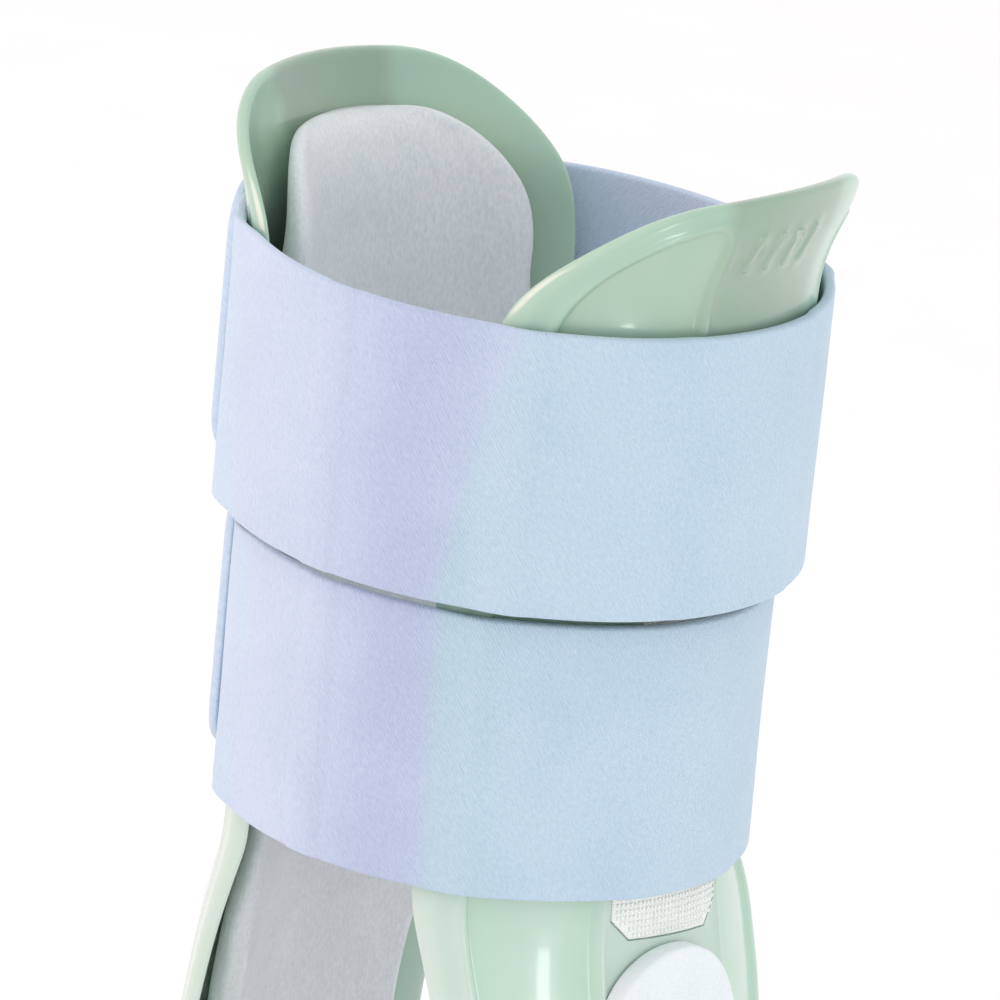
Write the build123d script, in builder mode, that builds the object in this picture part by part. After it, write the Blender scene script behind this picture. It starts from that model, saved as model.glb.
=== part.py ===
from build123d import *
import os
from math import asin, atan2, degrees, sqrt

# Ankle foot orthosis of the stirrup kind: two contoured side shells with padded liners, joined under
# the heel by a strap and closed round the leg by two wide hook-and-loop straps.
# Millimetres. Z is up, Z = 0 is the underside of the heel strap. +X is the medial side (inside of
# the ankle), -X the lateral side, -Y the front (towards the toes).

os.makedirs("parts", exist_ok=True)

# ---- driving dimensions -------------------------------------------------------------------------
shell_top = 249.4
shell_bottom = 16
shell_half_width = 43
shell_wall = 2.4
panel_depth = 0.9
pocket_depth = 0.8
hook_proud = 0.15
spread = 80
reach_x = 80

# Each level of a shell: height, how far its outer face stands from the leg's axis, section radius,
# and how far behind the leg's axis the section is centred.
levels = [
    (8, 43.0, 90.0, 0),
    (22, 43.6, 72.0, 0.5),
    (36, 44.5, 67.0, 1.2),
    (50, 46.4, 64.5, 2.2),
    (64, 48.2, 63.5, 3),
    (78, 49.0, 63.0, 3.6),
    (90, 47.9, 62.5, 3.7),
    (102, 45.9, 60.5, 2.8),
    (112, 44.1, 57.4, 1.8),
    (119, 43.35, 53.0, 0.3),
    (125, 43.15, 52.3, 0),
    (135, 43.1, 52.3, 0),
    (150, 43.1, 52.3, 0),
    (172, 43.3, 52.4, 0),
    (188, 45.4, 53.0, 0),
    (207, 48.1, 53.8, 0),
    (221, 48.8, 54.1, 0),
    (229, 49.0, 54.3, 0),
    (236, 50.7, 56.0, 0),
    (242, 52.8, 58.0, 0),
    (249, 54.0, 59.0, 0),
    (256, 54.6, 59.4, 0),
]

# Padding inside each shell, as depths below the shell's outer face.
dot_far = 3.6
liner_near = 3.7
liner_far = 11.2
liner_skin = 0.8
liner_inset = 8.5
hook_dot_radius = 9
hook_dot_places = [(0, 60), (0, 120), (0, 170), (0, 222)]

# Hook strip down the middle of each shell, and the hook patch under the heel strap's end.
strip_half_width = 14.2
strip_bottom = 112.7
strip_top = 222
strip_chamfer = 4
strip_slope = -0.06
patch_half_width = 12
patch_bottom = 62
patch_top = 107

# Heel strap: a padded strip that runs up outside both shells.
heel_half_width = 16
heel_middle_y = -1.9
heel_near = 0.4
heel_wall = 3.5
heel_tab_top = 111.5
heel_split = 92
split_gap = 0.15
fold_x = 38.5
sole_wall = 3.5
heel_pad_size = (62, 44)
heel_pad_height = 4.5

# The two wide straps.
strap_width = 50
strap_wall = 2.0
lap_gap = 1.2
lap_start_y = 13
tab_hinge_y = 2
tab_tip_y = -26
tab_clear = 0.1
hook_inset = 2

# Each strap's middle height and slope, and its path: reach and radius on the shells, depth in front.
upper_middle = 202
upper_slope = (-0.05, -0.02)
upper_size = (49.2, 54.4, 52.2)
lower_middle = 148.2
lower_slope = (-0.04, -0.05)
lower_size = (44.0, 53.0, 49.1)


# ---- outlines and sections ----------------------------------------------------------------------
def band_section(level, near, far):
    """One level of a curved band that lies between two depths below the shell's outer face."""
    height, reach, radius, behind = level
    with BuildSketch(Plane.XY.offset(height)) as section:
        with BuildLine():
            outer = CenterArc((reach - radius, behind), radius - near, -spread, 2 * spread)
            inner = CenterArc((reach - radius, behind), radius - far, -spread, 2 * spread)
            Line(outer @ 0, inner @ 0)
            Line(outer @ 1, inner @ 1)
        make_face()
    return section.sketch


def band(near, far):
    """All levels of such a band, ready for a loft."""
    return [band_section(level, near, far) for level in levels]


def arch_outline(inset):
    """The shell's side view, drawn in by a margin: a broad arch that narrows to a rounded foot."""
    top = shell_top - inset
    foot = shell_bottom + inset
    half = shell_half_width - inset
    with BuildSketch(Plane.YZ) as outline:
        with BuildLine():
            ThreePointArc((0, top), (8, top - 0.1), (16, top - 0.6))
            Bezier((16, top - 0.6), (33 - 0.8 * inset, top - 1.4), (half, 237 - 0.8 * inset), (half, 214))
            Line((half, 214), (half - 1, 125))
            Bezier((half - 1, 125), (half - 1.3, 100), (37 - inset, 70), (33.5 - inset, 50))
            Bezier((33.5 - inset, 50), (30.5 - inset, 33), (27 - inset, foot), (10, foot))
            Line((10, foot), (0, foot))
            mirror(about=Plane.YZ)
        make_face()
    return outline.sketch


def panel_half(crown, shoulder):
    """One recessed panel, drawn with Y above zero. Its two upper curves differ in front and behind."""
    with BuildSketch(Plane.YZ) as outline:
        with BuildLine():
            Bezier(*crown)
            Bezier(*shoulder)
            Line((38.4, 214), (37.6, 125))
            Bezier((37.6, 125), (37.4, 100), (32.5, 70), (29.4, 54))
            Bezier((29.4, 54), (28.2, 47), (25, 44), (22, 44))
            Bezier((22, 44), (18, 44), (17.6, 47), (17.3, 52))
            Line((17.3, 52), (16.6, 104))
            Line((16.6, 104), (16.6, 125))
            Line((16.6, 125), crown[0])
        make_face()
    return outline.sketch_local


def panel_outline():
    """The recessed panels behind and in front of the shell's middle band."""
    behind = panel_half(
        [(24, 232), (24, 237), (25.5, 239.8), (28.5, 238.4)],
        [(28.5, 238.4), (35, 235.4), (38.4, 227), (38.4, 214)],
    )
    front = panel_half(
        [(13.6, 239), (13.6, 242.5), (14.6, 244.8), (18, 244.4)],
        [(18, 244.4), (30, 242.6), (38.4, 234), (38.4, 214)],
    )
    with BuildSketch(Plane.YZ) as outline:
        add(behind)
        mirror(front, about=Plane.YZ)
    return outline.sketch


def strip_outline(margin):
    """The hook strip's side view, with its lower corners cut off."""
    half = strip_half_width + margin
    low = strip_bottom - margin
    top = strip_top + margin
    with BuildSketch(Plane.YZ) as outline:
        with BuildLine():
            Polyline(
                (half, low + strip_chamfer + strip_slope * half),
                (half, top),
                (-half, top),
                (-half, low + strip_chamfer - strip_slope * half),
                (strip_chamfer - half, low - strip_slope * half),
                (half - strip_chamfer, low + strip_slope * half),
                close=True,
            )
        make_face()
    return outline.sketch


def patch_outline():
    """The hook patch under the heel strap's end."""
    middle = (patch_top + patch_bottom) / 2
    with BuildSketch(Plane.YZ) as outline:
        with Locations((0, middle)):
            SlotOverall(patch_top - patch_bottom, 2 * patch_half_width, rotation=90)
    return outline.sketch


def heel_outline(low, high, rounded):
    """A length of the heel strap in side view, with a round upper end or a straight one."""
    with BuildSketch(Plane.YZ) as outline:
        with Locations((heel_middle_y, (low + high) / 2)):
            Rectangle(2 * heel_half_width, high - low)
        if rounded:
            fillet(outline.vertices().group_by(Axis.Y)[-1], heel_half_width - 0.5)
    return outline.sketch


def rib_outlines():
    """Four short slanted grip ribs near the top of the middle band."""
    with BuildSketch(Plane.YZ) as outline:
        with Locations((-7.5, 239), (-2.5, 239), (2.5, 239), (7.5, 239)):
            SlotOverall(7, 1.6, rotation=75)
    return outline.sketch


def strap_links(size):
    """The strap's path round both shells: start on the lateral shell, front, medial side, back, lap."""
    reach, radius, depth = size
    k = radius - reach
    lap = strap_wall + lap_gap
    turn = (radius**2 - k**2 - depth**2) / (2 * (radius - depth))
    front = depth - turn
    back_x = -(2 * lap * (radius - turn) + lap**2) / (4 * k)
    back_y = sqrt((radius - turn) ** 2 - (back_x + k) ** 2)
    leave = degrees(atan2(front, k))
    rear = degrees(atan2(back_y, back_x + k))
    arrive = degrees(atan2(back_y, back_x - k))
    start = 180 - degrees(asin(lap_start_y / radius))
    end = 180 - degrees(asin(tab_hinge_y / (radius + lap)))
    return [
        ((k, 0), radius, start, 180 + leave),
        ((0, -front), turn, 180 + leave, 360 - leave),
        ((-k, 0), radius, -leave, rear),
        ((back_x, back_y), turn, rear, arrive),
        ((k, 0), radius + lap, arrive, end),
    ]


def strap_profile(size, middle):
    """The strap seen from above, drawn well below it."""
    links = strap_links(size)
    with BuildSketch(Plane.XY.offset(middle - strap_width)) as profile:
        with BuildLine():
            inner = [CenterArc(c, r, a, b - a) for c, r, a, b in links]
            outer = [CenterArc(c, r + strap_wall, a, b - a) for c, r, a, b in links]
            Line(inner[0] @ 0, outer[0] @ 0)
            Line(inner[-1] @ 1, outer[-1] @ 1)
        make_face()
    return profile.sketch


def tab_profile(size, middle, near, far, first_y, last_y):
    """A piece of the strap's end tab seen from above, between two depths outside the strap's lap."""
    reach, radius, depth = size
    k = radius - reach
    base = radius + strap_wall + lap_gap
    start = 180 - degrees(asin(first_y / base))
    end = 180 - degrees(asin(last_y / base))
    with BuildSketch(Plane.XY.offset(middle - strap_width)) as profile:
        with BuildLine():
            inner = CenterArc((k, 0), base + near, start, end - start)
            outer = CenterArc((k, 0), base + far, start, end - start)
            Line(inner @ 0, outer @ 0)
            Line(inner @ 1, outer @ 1)
        make_face()
    return profile.sketch


def slab_plane(middle, slope):
    """The sloping plane half way up a strap."""
    return Plane(origin=(0, 0, middle), x_dir=(1, 0, slope[0]), z_dir=(-slope[0], -slope[1], 1))


def tab_outline(middle, slope, inset):
    """The end tab's side view: square where it joins the strap, rounded at its free end."""
    length = tab_hinge_y + 1 - tab_tip_y - inset
    width = strap_width - 2 * inset
    side = Plane(origin=(0, 0, middle + 52 * -slope[0]), x_dir=(0, 1, slope[1]), z_dir=(1, 0, 0))
    with BuildSketch(side) as outline:
        with Locations((tab_hinge_y + 1 - length / 2, 0)):
            Rectangle(length, width)
        fillet(outline.vertices().group_by(Axis.X)[0], 9 - inset)
    return outline.sketch


# ---- cutting tools ------------------------------------------------------------------------------
with BuildPart() as panel_tool:
    loft(band(-3, panel_depth))
    extrude(panel_outline(), amount=reach_x, mode=Mode.INTERSECT)

with BuildPart() as strip_tool:
    loft(band(-3, pocket_depth))
    extrude(strip_outline(0.3), amount=reach_x, mode=Mode.INTERSECT)

with BuildPart() as patch_tool:
    loft(band(-3, pocket_depth))
    extrude(patch_outline(), amount=reach_x, mode=Mode.INTERSECT)

with BuildPart() as rib_tool:
    loft(band(-0.5, 0.4))
    extrude(rib_outlines(), amount=reach_x, mode=Mode.INTERSECT)

# ---- medial shell -------------------------------------------------------------------------------
with BuildPart() as medial_shell:
    loft(band(0, shell_wall))
    extrude(arch_outline(0), amount=reach_x, mode=Mode.INTERSECT)
    add(panel_tool.part, mode=Mode.SUBTRACT)
    add(strip_tool.part, mode=Mode.SUBTRACT)
    add(patch_tool.part, mode=Mode.SUBTRACT)
    add(rib_tool.part)
medial_shell.part.label = "medial_shell"

with BuildPart() as medial_hook_strip:
    loft(band(-hook_proud, pocket_depth))
    extrude(strip_outline(0), amount=reach_x, mode=Mode.INTERSECT)
medial_hook_strip.part.label = "medial_hook_strip"

with BuildPart() as medial_heel_hook_patch:
    loft(band(-hook_proud, pocket_depth))
    extrude(patch_outline(), amount=reach_x, mode=Mode.INTERSECT)
medial_heel_hook_patch.part.label = "medial_heel_hook_patch"

# ---- medial padding -----------------------------------------------------------------------------
with BuildPart() as medial_liner_foam:
    loft(band(liner_near + liner_skin, liner_far - liner_skin))
    extrude(arch_outline(liner_inset + liner_skin), amount=reach_x, mode=Mode.INTERSECT)
medial_liner_foam.part.label = "medial_liner_foam"

with BuildPart() as medial_liner_cover:
    loft(band(liner_near, liner_far))
    extrude(arch_outline(liner_inset), amount=reach_x, mode=Mode.INTERSECT)
    add(medial_liner_foam.part, mode=Mode.SUBTRACT)
medial_liner_cover.part.label = "medial_liner_cover"

with BuildPart() as medial_liner_hook_dots:
    loft(band(shell_wall, dot_far))
    with BuildSketch(Plane.YZ):
        with Locations(*hook_dot_places):
            Circle(hook_dot_radius)
    extrude(amount=reach_x, mode=Mode.INTERSECT)
medial_liner_hook_dots.part.label = "medial_liner_hook_dots"

# ---- heel strap ---------------------------------------------------------------------------------
bend_near = levels[0][1] + heel_near - fold_x
bend_far = bend_near + heel_wall

with BuildPart() as medial_heel_riser:
    loft(band(-heel_near - heel_wall, -heel_near))
    extrude(heel_outline(bend_far, heel_split - split_gap, False), amount=reach_x, mode=Mode.INTERSECT)
    with BuildSketch(Plane.XZ.offset(-heel_middle_y)):
        with BuildLine():
            bend_inner = CenterArc((fold_x, bend_far), bend_near, -90, 90)
            bend_outer = CenterArc((fold_x, bend_far), bend_far, -90, 90)
            Line(bend_inner @ 0, bend_outer @ 0)
            Line(bend_inner @ 1, bend_outer @ 1)
        make_face()
    extrude(amount=heel_half_width, both=True)
medial_heel_riser.part.label = "medial_heel_riser"

with BuildPart() as medial_heel_tab:
    loft(band(-heel_near - heel_wall, -heel_near))
    extrude(heel_outline(heel_split + split_gap, heel_tab_top, True), amount=reach_x, mode=Mode.INTERSECT)
medial_heel_tab.part.label = "medial_heel_tab"

with BuildPart() as heel_strap_sole:
    with BuildSketch(Plane.XY):
        with Locations((0, heel_middle_y)):
            Rectangle(2 * (fold_x - 2 * split_gap), 2 * heel_half_width)
    extrude(amount=sole_wall)
heel_strap_sole.part.label = "heel_strap_sole"

with BuildPart() as heel_pad:
    with BuildSketch(Plane.XY.offset(sole_wall)):
        RectangleRounded(heel_pad_size[0], heel_pad_size[1], 9)
    extrude(amount=heel_pad_height)
    fillet(heel_pad.edges().group_by(Axis.Z)[-1], 1.5)
heel_pad.part.label = "heel_pad"

# ---- wide straps and their end tabs -------------------------------------------------------------
def strap_slab(middle, slope):
    """A wide flat area in the strap's middle plane, to be thickened to the strap's width."""
    with BuildSketch(slab_plane(middle, slope)) as slab:
        Rectangle(160, 160)
    return slab.sketch


with BuildPart() as upper_strap:
    extrude(strap_profile(upper_size, upper_middle), amount=2 * strap_width)
    extrude(strap_slab(upper_middle, upper_slope), amount=strap_width / 2, both=True, mode=Mode.INTERSECT)
upper_strap.part.label = "upper_strap"

with BuildPart() as lower_strap:
    extrude(strap_profile(lower_size, lower_middle), amount=2 * strap_width)
    extrude(strap_slab(lower_middle, lower_slope), amount=strap_width / 2, both=True, mode=Mode.INTERSECT)
lower_strap.part.label = "lower_strap"

tab_start_y = tab_hinge_y - 2 * split_gap
hook_near = tab_clear - lap_gap

with BuildPart() as upper_strap_tab:
    extrude(tab_profile(upper_size, upper_middle, 0, strap_wall, tab_start_y, tab_tip_y), amount=2 * strap_width)
    extrude(tab_outline(upper_middle, upper_slope, 0), amount=-reach_x, mode=Mode.INTERSECT)
upper_strap_tab.part.label = "upper_strap_tab"

with BuildPart() as upper_tab_hook_pad:
    extrude(tab_profile(upper_size, upper_middle, hook_near, 0, tab_start_y, tab_tip_y), amount=2 * strap_width)
    extrude(tab_outline(upper_middle, upper_slope, hook_inset), amount=-reach_x, mode=Mode.INTERSECT)
upper_tab_hook_pad.part.label = "upper_tab_hook_pad"

with BuildPart() as lower_strap_tab:
    extrude(tab_profile(lower_size, lower_middle, 0, strap_wall, tab_start_y, tab_tip_y), amount=2 * strap_width)
    extrude(tab_outline(lower_middle, lower_slope, 0), amount=-reach_x, mode=Mode.INTERSECT)
lower_strap_tab.part.label = "lower_strap_tab"

with BuildPart() as lower_tab_hook_pad:
    extrude(tab_profile(lower_size, lower_middle, hook_near, 0, tab_start_y, tab_tip_y), amount=2 * strap_width)
    extrude(tab_outline(lower_middle, lower_slope, hook_inset), amount=-reach_x, mode=Mode.INTERSECT)
lower_tab_hook_pad.part.label = "lower_tab_hook_pad"

# ---- lateral side: the mirror image of the medial side ------------------------------------------
with BuildPart() as lateral_shell:
    mirror(medial_shell.part, about=Plane.YZ)
lateral_shell.part.label = "lateral_shell"

with BuildPart() as lateral_hook_strip:
    mirror(medial_hook_strip.part, about=Plane.YZ)
lateral_hook_strip.part.label = "lateral_hook_strip"

with BuildPart() as lateral_heel_hook_patch:
    mirror(medial_heel_hook_patch.part, about=Plane.YZ)
lateral_heel_hook_patch.part.label = "lateral_heel_hook_patch"

with BuildPart() as lateral_liner_foam:
    mirror(medial_liner_foam.part, about=Plane.YZ)
lateral_liner_foam.part.label = "lateral_liner_foam"

with BuildPart() as lateral_liner_cover:
    mirror(medial_liner_cover.part, about=Plane.YZ)
lateral_liner_cover.part.label = "lateral_liner_cover"

with BuildPart() as lateral_liner_hook_dots:
    mirror(medial_liner_hook_dots.part, about=Plane.YZ)
lateral_liner_hook_dots.part.label = "lateral_liner_hook_dots"

with BuildPart() as lateral_heel_riser:
    mirror(medial_heel_riser.part, about=Plane.YZ)
lateral_heel_riser.part.label = "lateral_heel_riser"

with BuildPart() as lateral_heel_tab:
    mirror(medial_heel_tab.part, about=Plane.YZ)
lateral_heel_tab.part.label = "lateral_heel_tab"

# ---- one file for each piece --------------------------------------------------------------------
export_step(medial_shell.part, "parts/medial_shell.step")
export_step(medial_hook_strip.part, "parts/medial_hook_strip.step")
export_step(medial_heel_hook_patch.part, "parts/medial_heel_hook_patch.step")
export_step(medial_liner_foam.part, "parts/medial_liner_foam.step")
export_step(medial_liner_cover.part, "parts/medial_liner_cover.step")
export_step(medial_liner_hook_dots.part, "parts/medial_liner_hook_dots.step")
export_step(medial_heel_riser.part, "parts/medial_heel_riser.step")
export_step(medial_heel_tab.part, "parts/medial_heel_tab.step")
export_step(lateral_shell.part, "parts/lateral_shell.step")
export_step(lateral_hook_strip.part, "parts/lateral_hook_strip.step")
export_step(lateral_heel_hook_patch.part, "parts/lateral_heel_hook_patch.step")
export_step(lateral_liner_foam.part, "parts/lateral_liner_foam.step")
export_step(lateral_liner_cover.part, "parts/lateral_liner_cover.step")
export_step(lateral_liner_hook_dots.part, "parts/lateral_liner_hook_dots.step")
export_step(lateral_heel_riser.part, "parts/lateral_heel_riser.step")
export_step(lateral_heel_tab.part, "parts/lateral_heel_tab.step")
export_step(heel_strap_sole.part, "parts/heel_strap_sole.step")
export_step(heel_pad.part, "parts/heel_pad.step")
export_step(upper_strap.part, "parts/upper_strap.step")
export_step(lower_strap.part, "parts/lower_strap.step")
export_step(upper_strap_tab.part, "parts/upper_strap_tab.step")
export_step(upper_tab_hook_pad.part, "parts/upper_tab_hook_pad.step")
export_step(lower_strap_tab.part, "parts/lower_strap_tab.step")
export_step(lower_tab_hook_pad.part, "parts/lower_tab_hook_pad.step")
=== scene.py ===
import math

import bpy
import numpy as np
from mathutils import Matrix, Vector
from mathutils.geometry import delaunay_2d_cdt
from mathutils.kdtree import KDTree


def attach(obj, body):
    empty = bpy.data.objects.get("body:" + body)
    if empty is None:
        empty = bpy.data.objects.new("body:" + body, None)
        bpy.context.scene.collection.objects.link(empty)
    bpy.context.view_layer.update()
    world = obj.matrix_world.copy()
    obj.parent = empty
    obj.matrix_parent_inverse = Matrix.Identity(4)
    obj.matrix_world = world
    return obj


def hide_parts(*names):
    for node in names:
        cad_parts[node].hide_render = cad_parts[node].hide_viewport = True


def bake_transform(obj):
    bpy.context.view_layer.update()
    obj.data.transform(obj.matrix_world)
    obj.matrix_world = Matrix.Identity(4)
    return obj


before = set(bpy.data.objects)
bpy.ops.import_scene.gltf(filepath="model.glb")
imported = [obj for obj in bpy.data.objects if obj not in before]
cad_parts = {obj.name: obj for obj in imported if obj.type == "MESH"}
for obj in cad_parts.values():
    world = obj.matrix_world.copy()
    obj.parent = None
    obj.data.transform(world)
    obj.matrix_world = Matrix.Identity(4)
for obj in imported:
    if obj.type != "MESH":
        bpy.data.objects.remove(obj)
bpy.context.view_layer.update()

MM = 0.001
LATERAL, MEDIAL = -1, 1
SIDES = {LATERAL: "lateral", MEDIAL: "medial"}
random = np.random.default_rng(7)

# ---- sizes (mm), most of them the CAD source's own -----------------------------------------------
# A side's levels: height, reach of the outer face, radius of the section, how far behind its centre is.
LEVELS = np.array([
    (8, 43.0, 90.0, 0), (22, 43.6, 72.0, 0.5), (36, 44.5, 67.0, 1.2), (50, 46.4, 64.5, 2.2),
    (64, 48.2, 63.5, 3), (78, 49.0, 63.0, 3.6), (90, 47.9, 62.5, 3.7), (102, 45.9, 60.5, 2.8),
    (112, 44.1, 57.4, 1.8), (119, 43.35, 53.0, 0.3), (125, 43.15, 52.3, 0), (135, 43.1, 52.3, 0),
    (150, 43.1, 52.3, 0), (172, 43.3, 52.4, 0), (188, 45.4, 53.0, 0), (207, 48.1, 53.8, 0),
    (221, 48.8, 54.1, 0), (229, 49.0, 54.3, 0), (236, 50.7, 56.0, 0), (242, 52.8, 58.0, 0),
    (249, 54.0, 59.0, 0), (256, 54.6, 59.4, 0),
])
SHELL_TOP, SHELL_BOTTOM, SHELL_HALF, SHELL_WALL = 249.4, 16, 43, 2.4
PANEL_DEPTH, POCKET_DEPTH, HOOK_PROUD, POCKET_MARGIN = 0.9, 0.8, 0.15, 0.3
RIM_ROUND = 1.0
STRIP_HALF, STRIP_BOTTOM, STRIP_TOP, STRIP_CHAMFER, STRIP_SLOPE = 14.2, 112.7, 222, 4, -0.06
PATCH_HALF, PATCH_BOTTOM, PATCH_TOP = 12, 62, 107
LINER_NEAR, LINER_FAR, LINER_INSET = 3.7, 11.2, 8.5
HEEL_HALF, HEEL_Y, HEEL_NEAR, HEEL_WALL, HEEL_TOP = 16, -1.9, 0.4, 3.5, 111.5
HEEL_SPLIT = 84  # 8 mm under the CAD's own split, so that the end piece holds the whole bend
FOLD_X, BEND_NEAR = 38.5, 4.9
PAD_SIZE, PAD_LOW, PAD_HIGH = (62, 44), 3.5, 8.0
STRAP_WIDTH, STRAP_WALL, LAP_GAP = 50, 2.0, 1.2
LAP_START_Y, TAB_START_Y, TAB_TIP_Y, TAB_CLEAR, HOOK_INSET = 13, 8, -26, 0.1, 2
LEG_RADIUS = 0.053  # metres, for textures that run round the leg
# Each strap: its middle height, its rise along X and Y, its reach, radius and depth, how far from the middle
# its blend ends, and where its cloth leaves the shell (past the shell's edge, and that per mm downwards).
STRAPS = {
    "upper": {
        "middle": 202, "slope": (-0.05, -0.02), "size": (49.2, 54.4, 52.2), "fold": 24, "crease": (3.2, 0.1),
    },
    "lower": {
        "middle": 148.2, "slope": (-0.04, -0.05), "size": (44.0, 53.0, 49.1), "fold": 19, "crease": (2.4, 0),
    },
}


# ---- curves and surfaces -------------------------------------------------------------------------
def spline(xs, ys):
    """A smooth curve through the points, the way the CAD loft runs through its levels."""
    n, h = len(xs), np.diff(xs)
    matrix, right = np.eye(n), np.zeros(n)
    for i in range(1, n - 1):
        matrix[i, i - 1:i + 2] = h[i - 1], 2 * (h[i - 1] + h[i]), h[i]
        right[i] = 6 * ((ys[i + 1] - ys[i]) / h[i] - (ys[i] - ys[i - 1]) / h[i - 1])
    bend = np.linalg.solve(matrix, right)

    def value(x):
        i = np.clip(np.searchsorted(xs, x) - 1, 0, n - 2)
        t = x - xs[i]
        rise = (ys[i + 1] - ys[i]) / h[i] - h[i] * (2 * bend[i] + bend[i + 1]) / 6
        return ys[i] + t * (rise + t * (bend[i] / 2 + t * (bend[i + 1] - bend[i]) / (6 * h[i])))

    return value


reach_at = spline(LEVELS[:, 0], LEVELS[:, 1])
radius_at = spline(LEVELS[:, 0], LEVELS[:, 2])
behind_at = spline(LEVELS[:, 0], LEVELS[:, 3])


def smooth(t):
    """Eases from 0 to 1 as t goes from 0 to 1."""
    t = np.clip(t, 0, 1)
    return t * t * (3 - 2 * t)


def shell_place(y, z, depth):
    """The point of the medial side that lies so far below the shell's outer face."""
    radius = radius_at(z)
    out = np.sqrt((radius - depth) ** 2 - (y - behind_at(z)) ** 2)
    return np.stack([reach_at(z) - radius + out, y, z], -1)


def bezier(a, b, c, d, step=1.0):
    """Points along a cubic curve, about a step apart."""
    p = np.array([a, b, c, d], float)
    count = max(4, round(np.linalg.norm(np.diff(p, axis=0), axis=1).sum() / step))
    t = np.linspace(0, 1, count + 1)[:, None]
    return (1 - t) ** 3 * p[0] + 3 * (1 - t) ** 2 * t * p[1] + 3 * (1 - t) * t ** 2 * p[2] + t ** 3 * p[3]


def run(points, step=1.0):
    """A polyline through the points, cut into short lengths."""
    rows = [np.array(points[:1], float)]
    for a, b in zip(points[:-1], points[1:]):
        a, b = np.array(a, float), np.array(b, float)
        count = max(1, round(np.linalg.norm(b - a) / step))
        rows.append(a + (b - a) * np.linspace(0, 1, count + 1)[1:, None])
    return np.vstack(rows)


def joined(*parts):
    """A closed loop of the parts, with no point twice."""
    loop = np.vstack(parts)
    keep = np.linalg.norm(loop - np.roll(loop, 1, 0), axis=1) > 1e-6
    return loop[keep]


def clockwise(loop):
    """The loop, turned round if it runs the other way."""
    a, b = loop, np.roll(loop, -1, 0)
    area = (a[:, 0] * b[:, 1] - b[:, 0] * a[:, 1]).sum()
    return loop if area < 0 else loop[::-1]


def inset(loop, distance):
    """The clockwise loop moved inwards."""
    along = np.roll(loop, -1, 0) - np.roll(loop, 1, 0)
    along /= np.linalg.norm(along, axis=1)[:, None]
    return loop + distance * np.stack([along[:, 1], -along[:, 0]], -1)


def mirrored(half):
    """A loop from its half with y above zero, which runs from the top to the bottom."""
    return clockwise(joined(half, half[::-1] * (-1, 1)))


def inside(points, loop):
    """Each point's distance to a closed loop, positive inside it."""
    a, b = loop, np.roll(loop, -1, 0)
    d = b - a
    result = np.empty(len(points))
    for k in range(0, len(points), 4000):
        p = points[k:k + 4000, None]
        t = np.clip(((p - a) * d).sum(-1) / (d * d).sum(-1), 0, 1)
        far = np.linalg.norm(p - a - t[..., None] * d, axis=-1).min(1)
        rise = np.where(d[:, 1] == 0, 1e-9, d[:, 1])
        crossed = (a[:, 1] > p[..., 1]) != (b[:, 1] > p[..., 1])
        crossed &= p[..., 0] < a[:, 0] + d[:, 0] * (p[..., 1] - a[:, 1]) / rise
        result[k:k + 4000] = np.where(crossed.sum(1) % 2, far, -far)
    return result


def arch(margin):
    """The shell's side view, drawn in by a margin."""
    top, foot, half = SHELL_TOP - margin, SHELL_BOTTOM + margin, SHELL_HALF - margin
    flat, drop = 16, 0.6
    crown = np.array([(y, top - drop * (y / flat) ** 2) for y in np.arange(0, flat, 1.0)])
    return mirrored(np.vstack([
        crown,
        bezier((flat, top - drop), (33 - 0.8 * margin, top - 1.4), (half, 237 - 0.8 * margin), (half, 214)),
        run([(half, 214), (half - 1, 125)])[1:],
        bezier((half - 1, 125), (half - 1.3, 100), (37 - margin, 70), (33.5 - margin, 50))[1:],
        bezier((33.5 - margin, 50), (30.5 - margin, 33), (27 - margin, foot), (10, foot))[1:],
        run([(10, foot), (0, foot)])[1:],
    ]))


def panel(crown, shoulder, side):
    """One recessed panel: its two upper curves, and the side of the middle band that it is on."""
    return clockwise(joined(
        bezier(*crown),
        bezier(*shoulder),
        run([(38.4, 214), (37.6, 125)]),
        bezier((37.6, 125), (37.4, 100), (32.5, 70), (29.4, 54)),
        bezier((29.4, 54), (28.2, 47), (25, 44), (22, 44)),
        bezier((22, 44), (18, 44), (17.6, 47), (17.3, 52)),
        run([(17.3, 52), (16.6, 104), (16.6, 125), crown[0]]),
    ) * (side, 1))


def strip(margin, step=1.5):
    """The hook strip's side view, grown by a margin: two chamfered lower corners and a sloping end."""
    half, low, top = STRIP_HALF + margin, STRIP_BOTTOM - margin, STRIP_TOP + margin
    corner = STRIP_CHAMFER
    tilt = STRIP_SLOPE * half
    return clockwise(joined(run([
        (half, low + corner + tilt), (half, top), (-half, top), (-half, low + corner - tilt),
        (corner - half, low - tilt), (half - corner, low + tilt), (half, low + corner + tilt),
    ], step)))


def slot_shape(centre, length, width, turn):
    """A slot with round ends, its length turned so many degrees from the Y axis."""
    angles = np.radians(np.arange(-90, 90.1, 15))
    end = np.stack([(length - width) / 2 + width / 2 * np.cos(angles), width / 2 * np.sin(angles)], -1)
    c, s = math.cos(math.radians(turn)), math.sin(math.radians(turn))
    return clockwise(joined(end, -end) @ np.array([(c, s), (-s, c)]) + centre)


def heel_tab_shape(low):
    """The heel strap's round upper end, from a level upwards."""
    radius = HEEL_HALF - 0.5
    angles = np.radians(np.linspace(0, 90, 24))
    corner = np.stack([0.5 + radius * np.sin(angles), HEEL_TOP - radius + radius * np.cos(angles)], -1)
    side = run([(HEEL_HALF, HEEL_TOP - radius), (HEEL_HALF, low), (0, low)])[1:]
    return mirrored(np.vstack([[(0, HEEL_TOP)], corner, side])) + (HEEL_Y, 0)


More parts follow.
